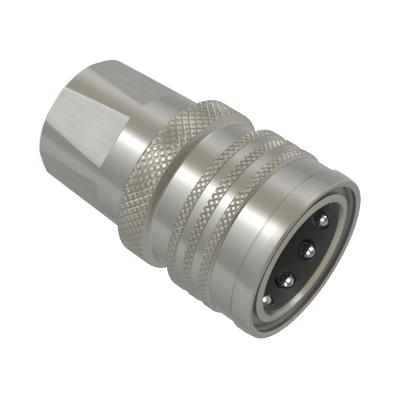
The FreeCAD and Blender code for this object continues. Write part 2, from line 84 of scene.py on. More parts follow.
# Front body
CHAMBER_RADIUS = 9.6
SPIGOT_RADIUS = 12.25
BODY_GROOVE_RADIUS = 11.05
BODY_GROOVE = (23.4, 24.7)
FLANGE_RADIUS = 17.552
FLANGE_EDGE = 0.2
FLANGE_END = 31.75
FLANGE_ROUND = 0.5
NECK_RADIUS = 15.872
NECK_START = 32.65
NECK_FILLET = 0.8
FLANGE_SLOPE = math.atan2(FLANGE_RADIUS - NECK_RADIUS, NECK_START - FLANGE_END)
FLANGE_CREST = FLANGE_END - FLANGE_ROUND * math.tan(FLANGE_SLOPE / 2)
SPRING_SHOULDER = 40.4
NOSE_RADIUS = 14.612
RING_GROOVE_RADIUS = 13.202
RING_GROOVE = (55.44, 56.44)
NOSE_TIP_RADIUS = 14.032
NOSE_FACE = 57.34
NOSE_CREST = 57.62
MOUTH_RADIUS = 12.48
MOUTH_CHAMFER_END = 56.5
GUIDE_BORE_RADIUS = 12.2
GUIDE_BORE_END = 55.13
SOCKET_RADIUS = 11.9
SEAL_GROOVE_RADIUS = 13.48
SEAL_GROOVE = (45.37, 48.4)
SOCKET_FLOOR = 42.5
THROAT_RADIUS = 7.0
THROAT = (38.6, 40.2)
SEAT_REAR = 36.0
BALL_COUNT = 10
BALL_PHASE = 23.07
BALL_STATION = 52.8
BALL_CENTRE_RADIUS = 12.7
POCKET_RADIUS = 2.08
POCKET_REACH = 16.6
POCKET_FLARE_ANGLE = 72
POCKET_FLARE = 0.6

# Sleeve
SLEEVE_REAR = 38.4
SLEEVE_BORE = 15.952
BAND_RADIUS = 17.742
BAND_WIDTH = 2.1
BAND_PITCH = 3.88
BAND_EDGE = 0.12
BAND_COUNT = 3
STRIP_RADIUS = 17.502
BARREL_RADIUS = 17.182
BARREL_SLOPE = 0.25
BEAD_RADIUS = 17.602
BEAD_REAR = 54.24
BEAD_RELIEF_REAR = 53.79
BEAD_RELIEF_RADIUS = 17.062
BEAD_TAPER_REAR = 56.0
BEAD_TAPER_ROUND = 5.0
BEAD_TIP_RADIUS = 17.302
COUPLING_END = 58.1
LIP_ROUND = 0.6
LIP_INNER_RADIUS = 16.652
LIP_BORE = 15.96
LIP_CHAMFER_END = 57.84
RAMP = (52.283, 57.037)
LAND_RADIUS = 14.692
LAND_REAR = 50.583

# Knurls: diamonds round the piece, their length along the axis, their depth and the mesh's steps in each
FLANGE_KNURL = {"count": 62, "pitch": 1.814, "depth": 0.21, "steps": 8}
BAND_KNURL = {"count": 80, "pitch": 1.395, "depth": 0.17, "steps": 8}

# Share of a full pyramid that is left under a diamond's flat top
KNURL_TOP = 0.375

# Springs: mean radius, wire radius, turns, height of the fixed end, length, travel
SLEEVE_SPRING = (15.28, 0.5, 4.5, 40.4, 10.133, 4.5)
VALVE_SPRING = (5.2, 0.55, 6.5, 18.5, 15.926, 5.0)
SPRING_END_TURNS = 0.5

# Small radii on edges that a lathe or a file has broken
FINE_BREAK = 0.06
EDGE_BREAK = 0.12

# Fineness of the meshes
CORNER_STEPS = 4
SLEEVE_CORNER_STEPS = 8
CORNER_SHARE = 0.45
CREASE_ANGLE = 25.0
FLAT_COLUMNS = 13
FLAT_FIRST_ROW = 1.2
FLAT_ROWS = 14
CONE_ROWS = 8
THREAD_ROWS = 104
CREST_SHARES = (0.25, 0.5, 0.75)
POCKET_COLUMNS = 48
POCKET_ARC_STEP = 3
WIRE_SIDES = 14
WIRE_STEPS = 48
BALL_CUTS = 13


# Meshes


def rounded(corners, steps=CORNER_STEPS):
    """Stations (radius, height, finish) along an outline whose corners are rounded.

    A corner is (radius, height, rounding, finish), and its finish covers the stretch that starts there.
    """
    stations = []
    count = len(corners)
    for number, (radius, height, rounding, finish) in enumerate(corners):
        corner = np.array((radius, height))
        if rounding == 0:
            stations.append((radius, height, finish))
            continue
        before = np.array(corners[number - 1][:2]) - corner
        after = np.array(corners[(number + 1) % count][:2]) - corner
        shorter = min(np.linalg.norm(before), np.linalg.norm(after))
        before /= np.linalg.norm(before)
        after /= np.linalg.norm(after)
        half_angle = math.acos(np.clip(before @ after, -1, 1)) / 2
        reach = min(rounding / math.tan(half_angle), CORNER_SHARE * shorter)
        centre = corner + (before + after) / (2 * math.cos(half_angle) ** 2) * reach
        first = corner + before * reach - centre
        last = corner + after * reach - centre
        turn = math.pi - 2 * half_angle
        for step in range(steps + 1):
            share = step / steps
            arm = (math.sin((1 - share) * turn) * first + math.sin(share * turn) * last) / math.sin(turn)
            stations.append((*(centre + arm), finish if step == steps else corners[number - 1][3]))
    return stations


def subdivided(start, end, count):
    """Evenly spaced heights from start to end, both included."""
    return [start + (end - start) * step / count for step in range(count + 1)]


def even_angles(columns):
    """Angles of evenly spaced columns, in radians."""
    return np.arange(columns) * TURN / columns


def wave(turns):
    """A straight-sided wave that is 0 at whole turns and 1 half way between."""
    return 1 - np.abs(2 * (turns % 1.0) - 1)


def knurl_relief(angles, height, knurl):
    """Height of a diamond knurl, from 0 in its grooves to 1 on its flat tops."""
    around = knurl["count"] * angles / TURN
    along = height / knurl["pitch"]
    pyramids = np.minimum(wave(around + along), wave(around - along))
    return np.minimum(pyramids / KNURL_TOP, 1.0)


def ring(angles, radii, height):
    """A closed ring of points, in metres."""
    radii = np.broadcast_to(radii, angles.shape)
    heights = np.broadcast_to(height, angles.shape)
    return np.stack([radii * np.cos(angles), radii * np.sin(angles), heights], axis=1) * MM


def placed(name, data):
    """A new object in the scene."""
    made = bpy.data.objects.new(name, data)
    bpy.context.scene.collection.objects.link(made)
    return made


def mesh_object(name, points, faces, finishes, materials, relief=None):
    """A smooth-shaded object with sharp creases and one material per face."""
    mesh = bpy.data.meshes.new(name)
    mesh.from_pydata(points.tolist(), [], faces)
    for material in materials:
        mesh.materials.append(material)
    mesh.polygons.foreach_set("material_index", finishes)
    if relief is not None:
        mesh.attributes.new("relief", "FLOAT", "POINT").data.foreach_set("value", relief)
    mesh.shade_smooth()
    mesh.set_sharp_from_angle(angle=math.radians(CREASE_ANGLE))
    mesh.update()
    return placed(name, mesh)


def loft(name, rings, materials):
    """A closed skin through rings given as (points, finish, relief).

    Where a ring has relief, each face is split along its deeper diagonal, so grooves stay sharp.
    """
    points = np.concatenate([entry[0] for entry in rings])
    columns = len(rings[0][0])
    span = np.hypot(points[:, 0], points[:, 1])
    flat_relief = np.ones(columns)
    relief = np.concatenate([flat_relief if entry[2] is None else entry[2] for entry in rings])
    faces = []
    finishes = []
    for number, (_, finish, carved) in enumerate(rings):
        low = number * columns
        high = ((number + 1) % len(rings)) * columns
        for column in range(columns):
            following = (column + 1) % columns
            a = low + column
            b = low + following
            c = high + following
            d = high + column
            tone = finish if np.isscalar(finish) else finish[column]
            if carved is None:
                faces.append((a, b, c, d))
                finishes.append(tone)
            else:
                deep = span[a] + span[c] < span[b] + span[d]
                faces += [(a, b, c), (a, c, d)] if deep else [(a, b, d), (b, c, d)]
                finishes += [tone, tone]
    return mesh_object(name, points, faces, finishes, materials, relief)


def turned_rings(stations, columns):
    """Plain rings at the given stations."""
    angles = even_angles(columns)
    return [(ring(angles, radius, height), finish, None) for radius, height, finish in stations]


def knurled_rings(profile, heights, columns, radius, knurl, finish):
    """Rings of a knurled stretch, cut off where the turned profile lies lower."""
    angles = even_angles(columns)
    rings = []
    for height in heights:
        relief = knurl_relief(angles, height, knurl)
        radii = np.minimum(radius - knurl["depth"] * (1 - relief), profile(height))
        rings.append((ring(angles, radii, height), finish, relief))
    return rings


# Materials

# Places of a mix node's colours among its inputs and outputs
MIX_FIRST = 6
MIX_SECOND = 7
MIX_RESULT = 2

# How far the turned rings waver
RING_WANDER = 0.00006

# Share that height counts in milled marks, which draws them out along the axis
MARK_STRETCH = 0.03

# Tone of the handling marks on the balls, as a share of the clean steel's
SMEAR_TONE = 0.9

# Turns that set stretched reflections square to the tool marks
QUARTER_TURN = 0.25


def new_material(name):
    """A material with an empty node tree, its output and its main shader."""
    material = bpy.data.materials.new(name)
    material.use_nodes = True
    tree = material.node_tree
    tree.nodes.clear()
    output = tree.nodes.new("ShaderNodeOutputMaterial")
    shader = tree.nodes.new("ShaderNodeBsdfPrincipled")
    tree.links.new(shader.outputs["BSDF"], output.inputs["Surface"])
    return material, tree, shader


def fill(tree, socket, content):
    """Link a socket to another node's output, or set its value."""
    if isinstance(content, bpy.types.NodeSocket):
        tree.links.new(content, socket)
    else:
        socket.default_value = content


def node(tree, kind, settings=None, **sockets):
    """A node with its settings and its sockets, which go by name or by an underscore and their place."""
    made = tree.nodes.new(kind)
    for key, content in (settings or {}).items():
        setattr(made, key, content)
    for key, content in sockets.items():
        place = int(key[1:]) if key[0] == "_" else key
        fill(tree, made.inputs[place], content)
    return made


def math_node(tree, operation, *operands):
    """A math node's result."""
    made = node(tree, "ShaderNodeMath", {"operation": operation})
    for number, content in enumerate(operands):
        fill(tree, made.inputs[number], content)
    return made.outputs[0]


def sum_of_products(tree, first, second):
    """The sum of two products, each given as a pair of factors."""
    return math_node(tree, "ADD", math_node(tree, "MULTIPLY", *first), math_node(tree, "MULTIPLY", *second))


def place_on_piece(tree):
    """A point's place on its piece, in metres."""
    return node(tree, "ShaderNodeTexCoord").outputs["Object"]


def separated(tree, vector):
    """The three parts of a vector."""
    return node(tree, "ShaderNodeSeparateXYZ", Vector=vector).outputs


def noise(tree, vector, scale, detail=2.0, roughness=0.55):
    """A noise value about 0.5."""
    made = node(tree, "ShaderNodeTexNoise", Vector=vector, Scale=scale, Detail=detail, Roughness=roughness)
    return made.outputs[0]


def between(tree, factor, low, high):
    """A value between low and high by a factor from 0 to 1."""
    ends = {"To Min": low, "To Max": high}
    return node(tree, "ShaderNodeMapRange", Value=factor, **ends).outputs[0]


def mixed(tree, factor, first, second):
    """A colour between two colours."""
    made = node(tree, "ShaderNodeMix", {"data_type": "RGBA"}, Factor=factor)
    for place, colour in ((MIX_FIRST, first), (MIX_SECOND, second)):
        linked = isinstance(colour, bpy.types.NodeSocket)
        fill(tree, made.inputs[place], colour if linked else (*colour, 1))
    return made.outputs[MIX_RESULT]


def set_surface(tree, shader, colour, roughness, metallic):
    """Link the shader's colour and roughness, and set how metallic it is."""
    tree.links.new(colour, shader.inputs["Base Color"])
    tree.links.new(roughness, shader.inputs["Roughness"])
    shader.inputs["Metallic"].default_value = metallic


def bumped(tree, shader, height, strength, distance):
    """Bend the shader's normal by a height."""
    bump = node(tree, "ShaderNodeBump", Height=height, Strength=strength, Distance=distance)
    tree.links.new(bump.outputs["Normal"], shader.inputs["Normal"])


def radial_tangent(tree, shader, amount):
    """Stretch reflections across the tool marks, which run round the axis, so along it."""
    tangent = node(tree, "ShaderNodeTangent", {"direction_type": "RADIAL", "axis": "Z"})
    tree.links.new(tangent.outputs["Tangent"], shader.inputs["Tangent"])
    shader.inputs["Anisotropic"].default_value = amount
    shader.inputs["Anisotropic Rotation"].default_value = QUARTER_TURN


def turned_steel(name, light, dark, roughness):
    """Stainless steel with fine turned rings and faint clouding."""
    material, tree, shader = new_material(name)
    place = place_on_piece(tree)
    x, y, height = separated(tree, place)
    radius = math_node(tree, "SQRT", sum_of_products(tree, (x, x), (y, y)))
    drift = math_node(tree, "MULTIPLY", noise(tree, place, scale=220.0), RING_WANDER)
    wavering = math_node(tree, "ADD", height, drift)
    rings = node(tree, "ShaderNodeCombineXYZ", X=radius, Y=wavering).outputs[0]
    lines = noise(tree, rings, scale=5200.0, detail=4.0, roughness=0.7)
    clouds = noise(tree, place, scale=90.0, detail=3.0)
    shine = between(tree, lines, *roughness)
    set_surface(tree, shader, mixed(tree, clouds, dark, light), shine, metallic=1.0)
    bumped(tree, shader, lines, strength=0.12, distance=0.00003)
    radial_tangent(tree, shader, amount=0.7)
    return material


def knurled_steel(name, peak, pit):
    """Rolled diamonds: bright worn tops, and pits darkened as painted shade in the grooves."""
    material, tree, shader = new_material(name)
    relief = node(tree, "ShaderNodeAttribute", {"attribute_name": "relief"}).outputs["Fac"]
    grain = noise(tree, place_on_piece(tree), scale=2600.0, detail=3.0, roughness=0.65)
    spots = math_node(tree, "MULTIPLY", math_node(tree, "SUBTRACT", grain, 0.5), 0.5)
    # The relief darkens the colour towards the pits, which is painted shade in the grooves. The grain spots
    # are random tone.
    worn = math_node(tree, "ADD", relief, spots)
    shine = between(tree, grain, low=0.15, high=0.28)
    set_surface(tree, shader, mixed(tree, worn, pit, peak), shine, metallic=1.0)
    bumped(tree, shader, grain, strength=0.25, distance=0.00006)
    return material


def milled_steel(name, light, dark):
    """A milled flat with fine straight marks along the axis."""
    material, tree, shader = new_material(name)
    place = place_on_piece(tree)
    x, y, height = separated(tree, place)
    across = math_node(tree, "MULTIPLY", math_node(tree, "ARCTAN2", y, x), FLAT_APOTHEM * MM)
    along = math_node(tree, "MULTIPLY", height, MARK_STRETCH)
    marks = node(tree, "ShaderNodeCombineXYZ", X=across, Y=along).outputs[0]
    lines = noise(tree, marks, scale=4200.0, detail=4.0, roughness=0.7)
    streaks = noise(tree, marks, scale=1500.0, detail=3.0, roughness=0.6)
    clouds = noise(tree, place, scale=140.0, detail=3.0)
    worn = math_node(tree, "MULTIPLY", math_node(tree, "ADD", clouds, streaks), 0.5)
    ends = {"From Min": 0.28, "From Max": 0.72}
    spread = node(tree, "ShaderNodeMapRange", Value=worn, **ends).outputs[0]
    shine = between(tree, lines, low=0.38, high=0.58)
    set_surface(tree, shader, mixed(tree, spread, dark, light), shine, metallic=1.0)
    bumped(tree, shader, lines, strength=0.18, distance=0.00004)
    return material


def polished_steel(name, colour):
    """Hard polished balls with a trace of handling marks."""
    material, tree, shader = new_material(name)
    smears = noise(tree, place_on_piece(tree), scale=700.0, detail=3.0)
    smeared = tuple(SMEAR_TONE * tone for tone in colour)
    shine = between(tree, smears, low=0.03, high=0.09)
    set_surface(tree, shader, mixed(tree, smears, smeared, colour), shine, metallic=1.0)
    return material


def moulded(name, light, dark, roughness, scale):
    """A seal or plastic ring with a fine moulded skin."""
    material, tree, shader = new_material(name)
    grain = noise(tree, place_on_piece(tree), scale, detail=4.0, roughness=0.6)
    shine = between(tree, grain, *roughness)
    set_surface(tree, shader, mixed(tree, grain, dark, light), shine, metallic=0.0)
    bumped(tree, shader, grain, strength=0.15, distance=0.00003)
    return material


# Steels by their light and dark tones, and the lowest and highest roughness
STEEL = turned_steel("turned_steel", (0.60, 0.59, 0.56), (0.54, 0.53, 0.50), roughness=(0.14, 0.28))
# Darker copy of the turned steel: painted shade in the bore, the ball pockets and the lip's bore wall.
BORE_PAINTED_SHADE = turned_steel("bore_steel", (0.30, 0.30, 0.31), (0.24, 0.24, 0.25), roughness=(0.40, 0.55))
# Lighter copy of the turned steel: painted light on the mouth's chamfer.
MOUTH_PAINTED_LIGHT = turned_steel("mouth_steel", (0.74, 0.73, 0.68), (0.66, 0.65, 0.60), roughness=(0.22, 0.34))
# Lighter copy of the turned steel: painted light on the sleeve's inner ramp and rear face.
RAMPS_PAINTED_LIGHT = turned_steel("ramp_steel", (0.70, 0.68, 0.62), (0.62, 0.60, 0.54), roughness=(0.58, 0.72))
# Darker copy of the turned steel: painted shade on the inner and hidden faces and on the pieces inside.
INNER_PAINTED_SHADE = turned_steel("inner_steel", (0.42, 0.41, 0.39), (0.34, 0.33, 0.31), roughness=(0.25, 0.42))
# The pit colour is painted shade in the knurl's grooves.
KNURL = knurled_steel("knurled_steel", peak=(0.56, 0.55, 0.50), pit=(0.37, 0.35, 0.30))
FLATS = milled_steel("milled_steel", (0.64, 0.64, 0.62), (0.50, 0.50, 0.485))
BALLS = polished_steel("ball_steel", (0.56, 0.56, 0.57))
WIRE = turned_steel("spring_wire", (0.50, 0.50, 0.49), (0.42, 0.42, 0.41), roughness=(0.22, 0.38))

# Seals and the plastic ring, with the scale of their grain
RUBBER = moulded("seal_rubber", (0.030, 0.030, 0.032), (0.016, 0.016, 0.017),
                 roughness=(0.45, 0.65), scale=1800.0)
PLASTIC = moulded("backup_plastic", (0.80, 0.79, 0.75), (0.70, 0.69, 0.66),
                  roughness=(0.40, 0.60), scale=900.0)


# Pieces


def adapter_radius(height):
    """Outside radius of the adapter at a height."""
    share = (height - ADAPTER_EDGE) / (ADAPTER_END - ADAPTER_EDGE)
    cone = ADAPTER_REAR_RADIUS + share * (ADAPTER_FRONT_RADIUS - ADAPTER_REAR_RADIUS)
    return np.minimum(cone, ADAPTER_REAR_RADIUS - ADAPTER_EDGE + height)


def adapter_columns(height):
    """Angles of the adapter's columns, their offsets from the middle of a flat, and which lie on a flat.

    The columns follow the edges of the flats, and leave the edge itself out, which breaks it.
    """
    radius = adapter_radius(min(height, FLATS_END))
    corner = math.acos(FLAT_APOTHEM / radius)
    edge = FLAT_BREAK / 2 / radius
    half_land = math.pi / FLAT_COUNT - corner
    flat = np.linspace(edge - corner, corner - edge, FLAT_COLUMNS)
    land = np.linspace(corner + edge, corner + 2 * half_land - edge, FLAT_COLUMNS)
    sector = np.concatenate([flat, land])
    starts = -math.pi / 2 + np.arange(FLAT_COUNT) * TURN / FLAT_COUNT
    angles = np.concatenate([start + sector for start in starts])
    offsets = np.tile(sector, FLAT_COUNT)
    on_flat = np.tile(np.arange(len(sector)) < len(flat), FLAT_COUNT)
    return angles, offsets, on_flat


def flat_ring(height):
    """A ring of the adapter's outside where the flats are milled."""
    angles, offsets, on_flat = adapter_columns(height)
    flats = FLAT_APOTHEM / np.cos(offsets)
    return ring(angles, np.where(on_flat, flats, adapter_radius(height)), height), on_flat


def runout_ring():
    """The edge where the cutter's sloped run-out leaves the cone."""
    angles, offsets, on_flat = adapter_columns(FLATS_END)
    depth = adapter_radius(FLATS_END) * np.cos(offsets) - FLAT_APOTHEM
    heights = FLATS_END + EDGE_BREAK + np.where(on_flat, FLATS_RUNOUT_SLOPE * depth, 0.0)
    return ring(angles, adapter_radius(heights), heights)


def port_radii(angles, height):
    """Radius of the threaded port at a height, for each angle."""
    fade = np.clip((PORT_THREAD_END - height) / THREAD_FADE, 0.0, 1.0)
    flanks = wave(height / THREAD_PITCH - angles / TURN)
    groove = np.clip(flanks * THREAD_STEEPNESS - THREAD_CREST, 0.0, 1.0)
    chamfer = PORT_MOUTH_RADIUS - height * (PORT_MOUTH_RADIUS - PORT_RADIUS) / PORT_CHAMFER
    return np.maximum(PORT_RADIUS + THREAD_DEPTH * fade * groove, chamfer)


def make_adapter():
    """Tapered port body with six milled flats and a threaded port."""
    turned, milled, inner = range(3)
    rings = []
    for height in [0.0, ADAPTER_EDGE] + subdivided(FLAT_FIRST_ROW, FLATS_END, FLAT_ROWS):
        points, on_flat = flat_ring(height)
        both = on_flat & np.roll(on_flat, -1)
        rings.append((points, np.where(both, milled, turned), None))
    rings.append((runout_ring(), turned, None))
    angles = adapter_columns(ADAPTER_END)[0]
    for height in subdivided(FLATS_END + FLATS_RUNOUT, ADAPTER_END - EDGE_BREAK, CONE_ROWS):
        rings.append((ring(angles, adapter_radius(height), height), turned, None))
    front = [
        (ADAPTER_FRONT_RADIUS - EDGE_BREAK, ADAPTER_END, turned),
        (JOINT_RADIUS, ADAPTER_END, inner),
        (JOINT_RADIUS, SPIGOT_REAR, inner),
        (GUIDE_SEAT_RADIUS, SPIGOT_REAR, inner),
        (GUIDE_SEAT_RADIUS, GUIDE_REAR, inner),
        (SHOULDER_RADIUS, GUIDE_REAR, inner),
        (SHOULDER_RADIUS, PORT_END, inner),
        (PORT_RADIUS, PORT_END, inner),
    ]
    rings += [(ring(angles, radius, height), finish, None) for radius, height, finish in front]
    for height in reversed(subdivided(0.0, PORT_THREAD_END, THREAD_ROWS)):
        rings.append((ring(angles, port_radii(angles, height), height), inner, None))
    piece = loft("adapter_body_dressed", rings, [STEEL, FLATS, INNER_PAINTED_SHADE])
    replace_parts(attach(piece, "body"), "adapter_body")
    return piece


def crest_station(slope):
    """Radius and height on the flange's rounded front crest, where it leans by a slope in radians."""
    radius = FLANGE_RADIUS - FLANGE_ROUND * (1 - math.cos(slope))
    height = FLANGE_CREST + FLANGE_ROUND * math.sin(slope)
    return radius, height


def flange_profile(height):
    """Radius of the flange's turned outline, which cuts the knurl off at both edges."""
    rear = FLANGE_RADIUS - FLANGE_EDGE + (height - ADAPTER_END)
    rise = max(0.0, height - FLANGE_CREST)
    crest = FLANGE_RADIUS - FLANGE_ROUND + math.sqrt(FLANGE_ROUND ** 2 - rise ** 2)
    return min(rear, crest, FLANGE_RADIUS)


def flange_heights():
    """Heights of the knurled rings, from the flange's rear edge over its front crest."""
    rear_edge = ADAPTER_END + FLANGE_EDGE
    rows = round((FLANGE_CREST - rear_edge) * FLANGE_KNURL["steps"] / FLANGE_KNURL["pitch"])
    crest_heights = [crest_station(FLANGE_SLOPE * share)[1] for share in CREST_SHARES]
    return subdivided(rear_edge, FLANGE_CREST, rows) + crest_heights


def pocket_profile():
    """Radius and depth along a pocket's plug, from its flared end in the bore outwards."""
    arc = [math.radians(angle) for angle in range(POCKET_FLARE_ANGLE, 90 + 1, POCKET_ARC_STEP)]
    seat = [(POCKET_RADIUS * math.sin(angle), -POCKET_RADIUS * math.cos(angle)) for angle in arc]
    flare = (seat[0][0] + POCKET_FLARE, seat[0][1] - POCKET_FLARE)
    return [flare, *seat, (POCKET_RADIUS, POCKET_REACH - BALL_CENTRE_RADIUS)]


def pocket_cutter():
    """Round-ended plugs, one for each ball pocket."""
    profile = pocket_profile()
    columns = POCKET_COLUMNS
    points = []
    faces = []
    for number in range(BALL_COUNT):
        place = math.radians(BALL_PHASE) + number * TURN / BALL_COUNT
        turn = Matrix.Rotation(place, 3, "Z")
        first = len(points)
        for radius, depth in profile:
            for angle in even_angles(columns):
                side = radius * math.cos(angle)
                rise = radius * math.sin(angle)
                local = Vector((BALL_CENTRE_RADIUS + depth, side, rise))
                points.append((turn @ local + Vector((0, 0, BALL_STATION))) * MM)
        for level in range(len(profile) - 1):
            for column in range(columns):
                a = first + level * columns + column
                b = first + level * columns + (column + 1) % columns
                faces.append((a, b, b + columns, a + columns))
        faces.append(tuple(first + column for column in reversed(range(columns))))
        last = first + (len(profile) - 1) * columns
        faces.append(tuple(last + column for column in range(columns)))
    mesh = bpy.data.meshes.new("pockets")
    mesh.from_pydata([tuple(point) for point in points], [], faces)
    mesh.materials.append(BORE_PAINTED_SHADE)
    return placed("pockets", mesh)


def cut_pockets(piece):
    """Take the ball pockets out of the socket body."""
    cutter = pocket_cutter()
    cut = piece.modifiers.new("pockets", "BOOLEAN")
    cut.operation = "DIFFERENCE"
    cut.solver = "EXACT"
    cut.object = cutter
    solid = bpy.data.meshes.new_from_object(piece.evaluated_get(bpy.context.evaluated_depsgraph_get()))
    piece.modifiers.clear()
    piece.data = solid
    bpy.data.objects.remove(cutter)


def make_front_body():
    """Socket body: spigot, knurled flange, neck, nose with ball pockets, seal groove and valve seat."""
    turned, knurled, bore, inner, mouth = range(5)
    columns = FLANGE_KNURL["count"] * FLANGE_KNURL["steps"]
    before = [
        (CHAMBER_RADIUS, SPIGOT_REAR, 0, inner),
        (SPIGOT_RADIUS, SPIGOT_REAR, 0, inner),
        (SPIGOT_RADIUS, BODY_GROOVE[0], 0, inner),
        (BODY_GROOVE_RADIUS, BODY_GROOVE[0], 0, inner),
        (BODY_GROOVE_RADIUS, BODY_GROOVE[1], 0, inner),
        (SPIGOT_RADIUS, BODY_GROOVE[1], 0, inner),
        (SPIGOT_RADIUS, ADAPTER_END, 0, turned),
        # The flange's rear chamfer gets the bore's darker steel: painted shade in place of its reflection.
        (FLANGE_RADIUS - FLANGE_EDGE, ADAPTER_END, 0, bore),
    ]
    after = [
        (*crest_station(FLANGE_SLOPE), 0, turned),
        (NECK_RADIUS, NECK_START, NECK_FILLET, turned),
        (NECK_RADIUS, SPRING_SHOULDER, EDGE_BREAK, inner),
        (NOSE_RADIUS, SPRING_SHOULDER, 0, inner),
        (NOSE_RADIUS, RING_GROOVE[0], 0, inner),
        (RING_GROOVE_RADIUS, RING_GROOVE[0], 0, inner),
        (RING_GROOVE_RADIUS, RING_GROOVE[1], 0, inner),
        (NOSE_TIP_RADIUS, RING_GROOVE[1], 0, turned),
        (NOSE_TIP_RADIUS, NOSE_FACE, EDGE_BREAK, turned),
        (MOUTH_RADIUS, NOSE_CREST, EDGE_BREAK, mouth),
        (GUIDE_BORE_RADIUS, MOUTH_CHAMFER_END, FINE_BREAK, bore),
        (GUIDE_BORE_RADIUS, GUIDE_BORE_END, 0, bore),
        (SOCKET_RADIUS, GUIDE_BORE_END, 0, bore),
        (SOCKET_RADIUS, SEAL_GROOVE[1], FINE_BREAK, bore),
        (SEAL_GROOVE_RADIUS, SEAL_GROOVE[1], 0, bore),
        (SEAL_GROOVE_RADIUS, SEAL_GROOVE[0], 0, bore),
        (SOCKET_RADIUS, SEAL_GROOVE[0], FINE_BREAK, bore),
        (SOCKET_RADIUS, SOCKET_FLOOR, 0, bore),
        (THROAT_RADIUS, THROAT[1], FINE_BREAK, bore),
        (THROAT_RADIUS, THROAT[0], FINE_BREAK, inner),
        (CHAMBER_RADIUS, SEAT_REAR, 0, inner),
    ]
    rings = turned_rings(rounded(before), columns)
    rings += knurled_rings(flange_profile, flange_heights(), columns, FLANGE_RADIUS, FLANGE_KNURL, knurled)
    rings += turned_rings(rounded(after), columns)
    piece = loft("front_body_dressed", rings, [STEEL, KNURL, BORE_PAINTED_SHADE, INNER_PAINTED_SHADE, MOUTH_PAINTED_LIGHT])
    cut_pockets(piece)
    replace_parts(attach(piece, "body"), "front_body")
    return piece


def band_profile(rear):
    """The turned outline of the knurled band that starts at a height, as a function of the height."""
    front = rear + BAND_WIDTH

    def profile(height):
        inside = min(height - rear, front - height) / BAND_EDGE
        return STRIP_RADIUS + (BAND_RADIUS - STRIP_RADIUS) * min(1.0, inside)

    return profile


def band_rings(number, columns, turned, knurled):
    """Rings of one knurled band of the sleeve, and of the smooth strip's edge on each side of it."""
    rear = SLEEVE_REAR + number * BAND_PITCH
    front = rear + BAND_WIDTH
    step = BAND_KNURL["pitch"] / BAND_KNURL["steps"]
    rows = round((BAND_WIDTH - 2 * BAND_EDGE) / step)
    heights = subdivided(rear + BAND_EDGE, front - BAND_EDGE, rows)
    before = [(STRIP_RADIUS, rear - FINE_BREAK, turned)] if number else []
    before += [(STRIP_RADIUS, rear, knurled)]
    after = [(STRIP_RADIUS, front, turned), (STRIP_RADIUS, front + FINE_BREAK, turned)]
    rings = turned_rings(before, columns)
    rings += knurled_rings(band_profile(rear), heights, columns, BAND_RADIUS, BAND_KNURL, knurled)
    rings += turned_rings(after, columns)
    return rings


def make_sleeve():
    """Release sleeve with three knurled bands, barrel, bead and rounded lip."""
    turned, knurled, inner, ramp, shade = range(5)
    columns = BAND_KNURL["count"] * BAND_KNURL["steps"]
    barrel_rear = SLEEVE_REAR + (BAND_COUNT - 1) * BAND_PITCH + BAND_WIDTH + BARREL_SLOPE
    after = [
        (BARREL_RADIUS, barrel_rear, FINE_BREAK, turned),
        (BARREL_RADIUS, BEAD_RELIEF_REAR, 0, turned),
        (BEAD_RELIEF_RADIUS, BEAD_RELIEF_REAR, 0, turned),
        (BEAD_RELIEF_RADIUS, BEAD_REAR, 0, turned),
        (BEAD_RADIUS, BEAD_REAR, EDGE_BREAK, turned),
        (BEAD_RADIUS, BEAD_TAPER_REAR, BEAD_TAPER_ROUND, turned),
        (BEAD_TIP_RADIUS, COUPLING_END, LIP_ROUND, turned),
        (LIP_INNER_RADIUS, COUPLING_END, FINE_BREAK, turned),
        (LIP_BORE, LIP_CHAMFER_END, 0, shade),
        (LIP_BORE, RAMP[1], 0, ramp),
        (LAND_RADIUS, RAMP[0], 0, inner),
        (LAND_RADIUS, LAND_REAR, 0, inner),
        (SLEEVE_BORE, LAND_REAR, 0, inner),
    ]
    rings = turned_rings([(SLEEVE_BORE, SLEEVE_REAR, ramp)], columns)
    for number in range(BAND_COUNT):
        rings += band_rings(number, columns, turned, knurled)
    rings += turned_rings(rounded(after, SLEEVE_CORNER_STEPS), columns)
    piece = loft("sleeve_dressed", rings, [STEEL, KNURL, INNER_PAINTED_SHADE, RAMPS_PAINTED_LIGHT, BORE_PAINTED_SHADE])
    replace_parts(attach(piece, "sleeve"), "sleeve")
    return piece


def wire_points(radius, wire, turns, rear, length):
    """Rings of points along a coil spring whose end turns lie closed, in metres."""
    rise = length - 2 * wire
    points = []
    for number in range(int(turns * WIRE_STEPS) + 1):
        place = number / WIRE_STEPS
        active = min(max((place - SPRING_END_TURNS) / (turns - 2 * SPRING_END_TURNS), 0.0), 1.0)
        angle = TURN * place
        outward = np.array((math.cos(angle), math.sin(angle), 0.0))
        upward = np.array((0, 0, 1.0))
        height = rear + wire + rise * active
        centre = np.array((radius * math.cos(angle), radius * math.sin(angle), height))
        for side in range(WIRE_SIDES):
            share = TURN * side / WIRE_SIDES
            offset = wire * (math.cos(share) * outward + math.sin(share) * upward)
            points.append((centre + offset) * MM)
    return np.array(points)


def make_spring(node_name, sizes):
    """A coil spring with closed end turns."""
    radius, wire, turns, rear, length, travel = sizes
    sides = WIRE_SIDES
    points = wire_points(radius, wire, turns, rear, length)
    last = len(points) - sides
    faces = []
    for first in range(0, last, sides):
        for side in range(sides):
            a = first + side
            b = first + (side + 1) % sides
            faces.append((a, a + sides, b + sides, b))
    faces.append(tuple(range(sides)))
    faces.append(tuple(last + side for side in reversed(range(sides))))
    piece = mesh_object(node_name + "_dressed", points, faces, [0] * len(faces), [WIRE])
    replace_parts(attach(piece, "body"), node_name)
    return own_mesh(piece)


